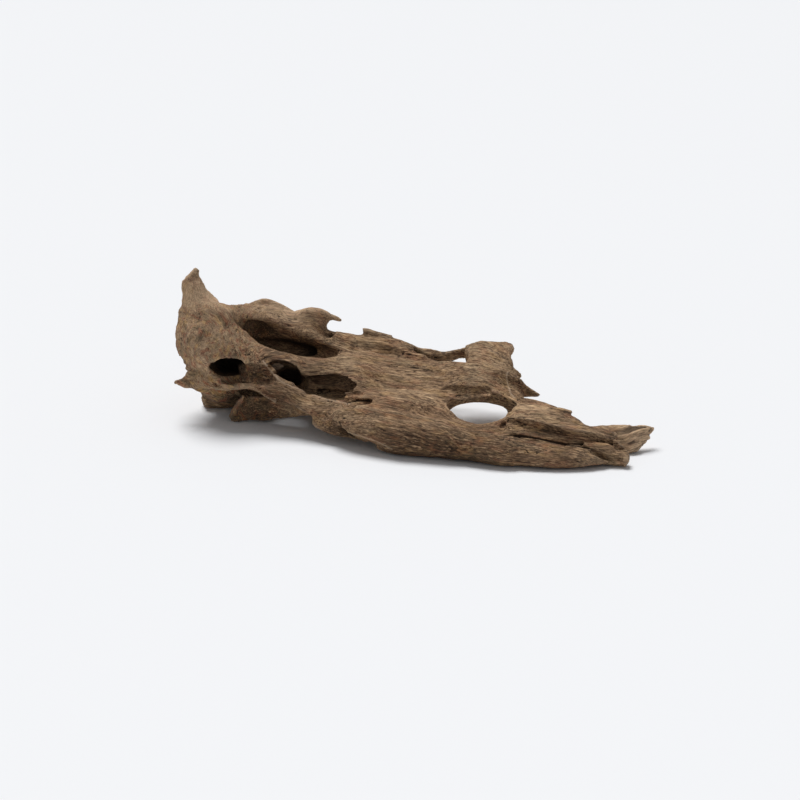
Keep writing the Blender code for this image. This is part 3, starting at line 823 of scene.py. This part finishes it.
def add(tree, kind, *values, out=0, **settings):
    """A new node with its inputs set or linked. None leaves an input alone, and a dict may come last."""
    node = tree.nodes.new(kind)
    for name, value in settings.items():
        setattr(node, name, value)
    pairs = list(zip([s for s in node.inputs if s.enabled], values))
    if values and isinstance(values[-1], dict):
        pairs = pairs[: len(values) - 1] + [(node.inputs[name], value) for name, value in values[-1].items()]
    for socket, value in pairs:
        if isinstance(value, bpy.types.NodeSocket):
            tree.links.new(value, socket)
        elif value is not None:
            socket.default_value = value
    outputs = [s for s in node.outputs if s.enabled]
    return outputs[out] if outputs else None


def grain(put, fibre, along, across, detail=2.0, roughness=0.5):
    """Noise drawn out along the fibres: one wave is this many millimetres along them and across them."""
    waves = put(VECTOR_MATH, fibre, (1 / along, 1 / across, 1 / across), operation="MULTIPLY")
    return put(NOISE, waves, 1.0, detail, roughness)


# %% [markdown]
# ## The relief
#
# Current and sand wear soft early wood away between the harder fibres. That leaves shallow furrows, fine
# ridges, short pits and, where the wood dried, cracks. All of them are noise read in fibre coordinates: long
# along the fibres, narrow across. Rims get crisper by pushing each point away from the average of its
# neighbours. Geometry Nodes does this on the skin, with the depths in millimetres as named inputs.

# %% Depths and guides
# In millimetres. Crispness alone is a share, of how far a point stands out of its surroundings
RELIEF = {
    "Furrow depth": 0.32,
    "Ridge depth": 0.36,
    "Pit depth": 0.45,
    "Check depth": 0.55,
    "Burl lumps": 3.0,
    "Rim height": 0.25,
    "Crack depth": 1.1,
    "Crispness": 0.9,
}
HOLLOW = ("Pit depth", "Check depth", "Crack depth")
GUIDES = {"Shelter guide": shelter_guide, "Rim guide": rim_guide, "Crack guide": crack_guide}

# How often a value is averaged with its neighbours: near a rim, across a hollow, and for shelter
RIM_PASSES, HOLLOW_PASSES, SHELTER_PASSES = 12, 60, 6

# A drawn line's effect is gone at the first distance from it and full at the second
RIM_FADE, CRACK_FADE = (1.2, 0.2), (1.1, 0.1)
print("relief in mm:", RELIEF)


# %% Furrows, ridges, pits and checks
def swirl(put, fibre, burl):
    """Slow noise pushes the fibre coordinates about, a little everywhere and most in the burl."""
    waves = put(VECTOR_MATH, fibre, (1 / 16, 1 / 14, 1 / 14), operation="MULTIPLY")
    slow = put(NOISE, waves, 1.0, 1.0, out=1)
    centred = put(VECTOR_MATH, slow, (0.5, 0.5, 0.5), operation="SUBTRACT")
    reach = put(MATH, burl, 7.0, 2.2, operation="MULTIPLY_ADD")
    return put(VECTOR_MATH, fibre, put(VECTOR_MATH, centred, reach, operation="SCALE"), operation="ADD")


def grain_forms(put, swirled, burl, torn):
    """What growth, water and drying leave along the fibres, each as a share of its depth."""
    # Furrows: the valleys of a folded noise, a few millimetres apart
    broad = put(MATH, grain(put, swirled, 70, 5), 0.5, operation="SUBTRACT")
    furrow = put(STEP, put(MATH, broad, operation="ABSOLUTE"), 0.0, 0.25, -0.5, 0.8)

    # Ridges: finer noise, and splinters where the wood is torn
    even = put(STEP, grain(put, swirled, 24, 1.6, 2.0, 0.6), 0.2, 0.8, -0.7, 0.7)
    split = put(STEP, grain(put, swirled, 60, 1.9, 1.0), 0.34, 0.66, -1.8, 1.8)
    ridge = put(MATH, split, torn, even, operation="MULTIPLY_ADD")

    # Pits: short hollow dashes, in patches
    cell_waves = put(VECTOR_MATH, swirled, (1 / 6.5, 1 / 2.3, 1 / 2.3), operation="MULTIPLY")
    bowl = put(STEP, put(CELLS, cell_waves), 0.31, 0.0, **SOFT)
    patchy = put(STEP, grain(put, swirled, 45, 22, 1.0), 0.5, 0.66, **SOFT)
    pit = put(MATH, bowl, patchy, operation="MULTIPLY")

    # Drying checks: thin long lines where a noise passes its middle value
    middle = put(MATH, grain(put, swirled, 90, 3.4, 1.0), 0.5, operation="SUBTRACT")
    thin = put(STEP, put(MATH, middle, operation="ABSOLUTE"), 0.022, 0.004, **SOFT)
    rare = put(STEP, grain(put, swirled, 24, 10, 1.0), 0.55, 0.63, **SOFT)
    check = put(MATH, thin, rare, operation="MULTIPLY")

    # Lumps of the burl
    lumps = put(MATH, grain(put, swirled, 36, 9, 3.0, 0.55), 0.5, operation="SUBTRACT")
    lumpy = put(MATH, lumps, burl, operation="MULTIPLY")
    return {
        "Furrow depth": furrow,
        "Ridge depth": ridge,
        "Pit depth": pit,
        "Check depth": check,
        "Burl lumps": lumpy,
    }


# %% Drawn lines, edges and shelter
def line_form(put, guide, position, fade):
    """1 along a guide's lines, and 0 away from them."""
    lines = put(OBJECT, guide, transform_space="RELATIVE", out=4)
    place = {"Sample Position": position}
    distance = put("GeometryNodeProximity", lines, place, target_element="EDGES", out=1)
    return put(STEP, distance, *(far * MM for far in fade), **SOFT)


def edges(put, crispness, position, normal):
    """The push that makes rims crisper and rotten edges softer, and how far each point bulges out, in mm."""
    near_mean = put(BLUR, position, RIM_PASSES, data_type="FLOAT_VECTOR")
    stand_out = put(VECTOR_MATH, position, near_mean, operation="SUBTRACT")
    soft = put(NAMED, "soft", data_type="FLOAT")
    firm = put(MATH, 1.0, soft, operation="SUBTRACT")
    sharpened = put(MATH, firm, crispness, operation="MULTIPLY")
    wide_mean = put(BLUR, position, HOLLOW_PASSES, data_type="FLOAT_VECTOR")
    wide_out = put(VECTOR_MATH, position, wide_mean, operation="SUBTRACT")
    rounded = put(VECTOR_MATH, wide_out, put(MATH, soft, -1.0, operation="MULTIPLY"), operation="SCALE")
    push = put(VECTOR_MATH, stand_out, sharpened, rounded, operation="MULTIPLY_ADD")
    bulge = put(MATH, put(VECTOR_MATH, wide_out, normal, operation="DOT_PRODUCT"), MM, operation="DIVIDE")
    return push, bulge


def nearest_shelter(put, guide, position):
    """The shelter measured on the thinned copy, evened out a little."""
    copy = put(OBJECT, guide, transform_space="RELATIVE", out=4)
    measured = put(NAMED, "shelter", data_type="FLOAT")
    place = {"Sample Position": position}
    read = put("GeometryNodeSampleNearestSurface", copy, measured, place, data_type="FLOAT")
    return put(BLUR, read, SHELTER_PASSES, data_type="FLOAT")


# %% Build the relief tree
def relief_tree(material):
    """Bare skin goes in. It comes out carved, with its material and the values that the material reads."""
    tree = bpy.data.node_groups.new("grain_relief", "GeometryNodeTree")
    put = partial(add, tree)
    tree.interface.new_socket("Geometry", in_out="INPUT", socket_type="NodeSocketGeometry")
    for name in RELIEF:
        tree.interface.new_socket(name, in_out="INPUT", socket_type="NodeSocketFloat")
    for name in GUIDES:
        tree.interface.new_socket(name, in_out="INPUT", socket_type="NodeSocketObject")
    tree.interface.new_socket("Geometry", in_out="OUTPUT", socket_type="NodeSocketGeometry")
    put("NodeGroupInput")
    given = tree.nodes[-1].outputs

    position = put("GeometryNodeInputPosition")
    normal = put("GeometryNodeInputNormal")
    burl = put(NAMED, "burl", data_type="FLOAT")
    swirled = swirl(put, put(NAMED, "fibre", data_type="FLOAT_VECTOR"), burl)
    forms = grain_forms(put, swirled, burl, put(NAMED, "torn", data_type="FLOAT"))
    forms["Rim height"] = line_form(put, given["Rim guide"], position, RIM_FADE)
    forms["Crack depth"] = line_form(put, given["Crack guide"], position, CRACK_FADE)

    # The heights, in millimetres along the normal
    height = None
    for name, form in forms.items():
        signed = put(MATH, form, -1.0 if name in HOLLOW else 1.0, operation="MULTIPLY")
        height = put(MATH, signed, given[name], height if height else 0.0, operation="MULTIPLY_ADD")
    metres = put(MATH, height, MM, operation="MULTIPLY")
    push, bulge = edges(put, given["Crispness"], position, normal)

    # What the material reads
    dashes = put(MATH, forms["Check depth"], forms["Pit depth"], operation="MAXIMUM")
    geometry = given["Geometry"]
    for name, value in {
        "shelter": nearest_shelter(put, given["Shelter guide"], position),
        "bulge": bulge,
        "carved": put(MATH, dashes, forms["Crack depth"], operation="MAXIMUM"),
        "rim": forms["Rim height"],
        "height": height,
    }.items():
        geometry = put(KEEP, geometry, None, name, value, data_type="FLOAT", domain="POINT")
    geometry = put(KEEP, geometry, None, "swirled", swirled, data_type="FLOAT_VECTOR", domain="POINT")

    lift = put(VECTOR_MATH, normal, metres, operation="SCALE")
    offset = put(VECTOR_MATH, lift, push, operation="ADD")
    geometry = put("GeometryNodeSetPosition", geometry, {"Offset": offset})
    geometry = put("GeometryNodeRealizeInstances", geometry)
    geometry = put("GeometryNodeSetMaterial", geometry, None, material)
    put("NodeGroupOutput", geometry)
    return tree


# %% [markdown]
# ## The wood
#
# Driftwood is bare, weathered root wood: matt, with no finish on it. Sun has greyed the ridges, the pores and
# cracks hold dark dirt, and rims that hands and stones rub are pale. Painted light and shade go in as well:
# the bleached parts get painted light, and shaded faces, hollows and cracks get painted shade. A picture of
# wood would stretch over the thorns. The colour comes in layers of noise instead: broad patches, then long
# streaks, then fine fibres, then what shelter, wear and cracks add.

# %% Colours
def colour(hex_code):
    """An sRGB hex value as the linear colour that a shader takes."""
    channels = [int(hex_code[i : i + 2], 16) / 255 for i in (1, 3, 5)]
    linear = [c / 12.92 if c <= 0.04045 else ((c + 0.055) / 1.055) ** 2.4 for c in channels]
    return (*linear, 1)


TAN = colour("#b5a38d")
BROWN = colour("#93806d")
GREY = colour("#998c7c")
STREAK = colour("#4a3a2e")
PALE = colour("#dfc5a9")
OCHRE = colour("#bfa276")
RUSSET = colour("#96644e")
GREEN_GREY = colour("#716c59")
# The two darkest colours are rot and dirt, and both also serve as painted shade
ROT_AND_SHADE = colour("#1d150f")
DIRT_AND_SHADE = colour("#2b2018")
print("tan as linear colour:", [round(c, 3) for c in TAN[:3]])

# %% Patches and mottle
# The mottle's colours, each with its length and width in millimetres and its strength
MOTTLE = ((STREAK, 30, 9, 0.4), (OCHRE, 16, 6, 0.8), (GREEN_GREY, 22, 8, 0.7), (RUSSET, 15, 5, 0.8))


def over(put, base, tint, share, strength, low=0.0, high=1.0):
    """A layer: as the share goes from low to high, the tint covers the base, up to this strength."""
    shown = put(STEP, share, low, high, 0.0, strength, **SOFT)
    return put(MIX, shown, base, tint, **COLOURS)


def times(put, a, b):
    return put(MATH, a, b, operation="MULTIPLY")


def patches(put, fibre, at):
    """Patches 36 to 64 mm long, tan where dry and darker elsewhere, then sun-bleaching with painted light,
    and painted shade.
    """
    dry = put(STEP, grain(put, fibre, 50, 16), 0.36, 0.64, **SOFT)
    base = put(MIX, dry, BROWN, TAN, **COLOURS)
    base = over(put, base, GREY, grain(put, fibre, 36, 11), 0.6, 0.48, 0.66)
    base = over(put, base, STREAK, grain(put, fibre, 64, 15, 3.0), 0.45, 0.5, 0.68)
    # Sun-bleaching, and painted light that brightens the horn, the far rim and the fins
    base = over(put, base, PALE, at["bleached_and_painted_light"], 0.92)
    # Painted shade, darkened into the colour
    base = over(put, base, DIRT_AND_SHADE, at["painted_shade"], 0.74)

    # Mottle, 5 to 9 mm across: strong on the burl, faint elsewhere
    amount = put(MATH, at["burl"], 0.65, 0.35, operation="MULTIPLY_ADD")
    for tint, along, across, strength in MOTTLE:
        spots = put(STEP, grain(put, fibre, along, across, 3.0, 0.6), 0.5, 0.65, 0.0, strength, **SOFT)
        base = put(MIX, times(put, spots, amount), base, tint, **COLOURS)
    return base


# %% Streaks, fibres and pores
# Streaks are about 1 mm wide. Real fibres and pores are a few tenths of a millimetre wide, too fine to show,
# so they are drawn as coarse as they need to show: length, width, detail and roughness of their noise
FINE_FIBRES = (5, 0.8, 3.0, 0.75)
PORES = (2.6, 1.1, 3.0, 0.75)


def streaks(put, fibre, at, base, fine_fibres, pores):
    """Dark and light streaks, calmer in the burl, then two-tone fibres and dark pores."""
    calm = put(MATH, at["burl"], -0.5, 1.0, operation="MULTIPLY_ADD")
    dark = put(STEP, grain(put, fibre, 12, 0.95, 3.0, 0.65), 0.48, 0.66, 0.0, 0.72, **SOFT)
    base = put(MIX, times(put, dark, calm), base, STREAK, **COLOURS)
    light = put(STEP, grain(put, fibre, 15, 1.05, 3.0, 0.65), 0.53, 0.7, 0.0, 0.6, **SOFT)
    base = put(MIX, times(put, light, calm), base, PALE, **COLOURS)
    two_tones = put(MIX, put(STEP, fine_fibres, 0.39, 0.61, **SOFT), STREAK, PALE, **COLOURS)
    base = put(MIX, 0.85, base, two_tones, **COLOURS, blend_type="SOFT_LIGHT")
    return over(put, base, DIRT_AND_SHADE, pores, 0.85, 0.57, 0.74)


# %% Dirt, wear, rot and painted shade
def wear(put, fibre, at, base):
    """Darker furrows, dirt and painted shade in cracks and hollows, pale rubbed rims, and more painted light.
    """
    base = over(put, base, DIRT_AND_SHADE, at["height"], 0.45, -0.1, -0.7)
    # Pits and checks hold dirt; along the drawn cracks the darkening is partly painted shade
    base = over(put, base, DIRT_AND_SHADE, at["carved"], 0.85, 0.15, 0.8)
    base = over(put, base, PALE, at["bulge"], 0.22, 0.7, 2.2)
    base = over(put, base, PALE, at["rim"], 0.35, 0.3, 1.0)
    # Hollows darker: dirt, and painted shade where the surface curves in
    base = over(put, base, DIRT_AND_SHADE, at["bulge"], 0.4, -0.5, -2.2)
    # More painted light on the bleached parts
    base = over(put, base, PALE, at["bleached_and_painted_light"], 0.3)

    # Where the wood is torn, dark lines show between the splinters
    lines = put(STEP, grain(put, fibre, 60, 1.9, 1.0), 0.49, 0.38, 0.0, 0.75, **SOFT)
    base = put(MIX, times(put, lines, at["torn"]), base, DIRT_AND_SHADE, **COLOURS)
    # Painted shade and rot: the more sheltered the wood, the darker
    return over(put, base, ROT_AND_SHADE, at["shelter"], 0.94, 0.25, 0.62)


# %% Wood material
# Wood's IOR is near 1.5. Raised, porous fibres scatter most of the shine, so the rest is low and rough
WOOD_IOR, WOOD_SPECULAR = 1.45, 0.25
ROUGH, RUBBED = 0.95, 0.72
BUMP_DEPTH = 0.8 * MM
READ = ("burl", "shelter", "bulge", "carved", "rim", "height", "bleached_and_painted_light", "painted_shade", "torn")


def wood_material():
    """Bare root wood, worn by water and dried: no gloss, and dark pores."""
    wood = bpy.data.materials.new("bare_weathered_root_wood")
    wood.use_nodes = True
    tree = wood.node_tree
    shader = tree.nodes["Principled BSDF"]
    put = partial(add, tree)

    fibre = put("ShaderNodeAttribute", attribute_name="swirled", out=1)
    at = {name: put("ShaderNodeAttribute", attribute_name=name, out=2) for name in READ}
    fine_fibres = grain(put, fibre, *FINE_FIBRES)
    pores = grain(put, fibre, *PORES)
    base = streaks(put, fibre, at, patches(put, fibre, at), fine_fibres, pores)
    tree.links.new(wear(put, fibre, at, base), shader.inputs["Base Color"])

    # The finest fibres and pores are too small for the mesh. The fibres' crests are rubbed smoother
    relief = put(MATH, fine_fibres, 0.9, times(put, pores, -0.5), operation="MULTIPLY_ADD")
    bump = put("ShaderNodeBump", {"Strength": 1.0, "Distance": BUMP_DEPTH, "Height": relief})
    tree.links.new(bump, shader.inputs["Normal"])
    tree.links.new(put(STEP, fine_fibres, 0.0, 1.0, ROUGH, RUBBED), shader.inputs["Roughness"])
    shader.inputs["IOR"].default_value = WOOD_IOR
    shader.inputs["Specular IOR Level"].default_value = WOOD_SPECULAR
    return wood


wood = wood_material()
print("material:", wood.name, len(wood.node_tree.nodes), "nodes")

# %% [markdown]
# ## Carve the skin
#
# The relief runs as a modifier, and its result becomes the skin's own mesh. Displacement in the material
# would only show in a render. The mesh is then thinned, most where it is flat, so that it stays light.

# %% Run the relief on the skin
TRIANGLES = 194_000

modifier = skin.modifiers.new("grain_relief", "NODES")
modifier.node_group = relief_tree(wood)
inputs = [item for item in modifier.node_group.interface.items_tree if item.in_out == "INPUT"]
sockets = {item.name: item.identifier for item in inputs}
for name, value in {**RELIEF, **GUIDES}.items():
    modifier[sockets[name]] = value
apply_modifiers(skin)

# The root lies on the table, so none of its skin goes under it
points = points_of(skin.data)
points[:, 2] = np.maximum(points[:, 2], 0)
skin.data.vertices.foreach_set("co", points.astype(np.float32).ravel())

add_modifier(skin, "DECIMATE", ratio=min(1, TRIANGLES / (2 * len(skin.data.polygons))))
apply_modifiers(skin)
for guide in GUIDES.values():
    bpy.data.objects.remove(guide)
skin.data.shade_smooth()
skin.data.calc_loop_triangles()
print("skin:", len(skin.data.loop_triangles), "triangles; kept:", [a.name for a in skin.data.attributes])

# %% [markdown]
# ## Table and light
#
# The photo has a seamless white table, and one large soft light above and behind the root. Its white
# surroundings fill the shadows a little. A sun lamp with a wide disc gives that soft light evenly all over
# the table, so no edge or fall-off shows.

# %% Table and light
# From the table's middle to its edges, in metres: past all that the camera sees
TABLE_REACH = 12.0
TABLE_WHITE = colour("#f1f2f4")
TABLE_ROUGHNESS, TABLE_SPECULAR = 0.8, 0.1

# The light's angle above the table, how far it stands round to the left of straight behind, its width as an
# angle, its strength, and the strength of the white surroundings
LIGHT_HEIGHT, LIGHT_SIDE = math.radians(64), math.radians(-28)
LIGHT_DISC = math.radians(30)
LIGHT_POWER = 2.65
FILL = 0.31


def table_material():
    """White laminate, matt."""
    made = bpy.data.materials.new("white_table_laminate")
    made.use_nodes = True
    shader = made.node_tree.nodes["Principled BSDF"]
    shader.inputs["Base Color"].default_value = TABLE_WHITE
    shader.inputs["Roughness"].default_value = TABLE_ROUGHNESS
    shader.inputs["Specular IOR Level"].default_value = TABLE_SPECULAR
    return made


def white_room():
    """Faint light from all round. The camera sees it as white as the table, so no horizon shows."""
    room = bpy.data.worlds.new("white_room")
    room.use_nodes = True
    tree = room.node_tree
    put = partial(add, tree)
    seen = put("ShaderNodeLightPath")
    strength = put(STEP, seen, 0.0, 1.0, FILL, 1.0)
    background = tree.nodes["Background"]
    background.inputs["Color"].default_value = TABLE_WHITE
    tree.links.new(strength, background.inputs["Strength"])
    return room


grid = bmesh.new()
bmesh.ops.create_grid(grid, x_segments=1, y_segments=1, size=TABLE_REACH)
table = object_of("table", grid)
table.data.materials.append(table_material())
bpy.context.scene.world = white_room()

lamp_data = bpy.data.lights.new("large_soft_box", "SUN")
lamp_data.energy, lamp_data.angle = LIGHT_POWER, LIGHT_DISC
lamp = new_object("large_soft_box", lamp_data)
flat = math.cos(LIGHT_HEIGHT)
towards_light = Vector((flat * math.sin(LIGHT_SIDE), flat * math.cos(LIGHT_SIDE), math.sin(LIGHT_HEIGHT)))
turn = (PHOTO_AXES.to_3x3() @ towards_light).to_track_quat("Z", "Y")
lamp.matrix_world = turn.to_matrix().to_4x4()
bpy.context.scene.view_settings.view_transform = "Standard"
print("light from", [round(c, 2) for c in towards_light], "in the photo's axes")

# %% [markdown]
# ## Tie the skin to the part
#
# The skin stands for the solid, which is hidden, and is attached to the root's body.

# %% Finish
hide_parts(NODE)
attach(skin, "root")
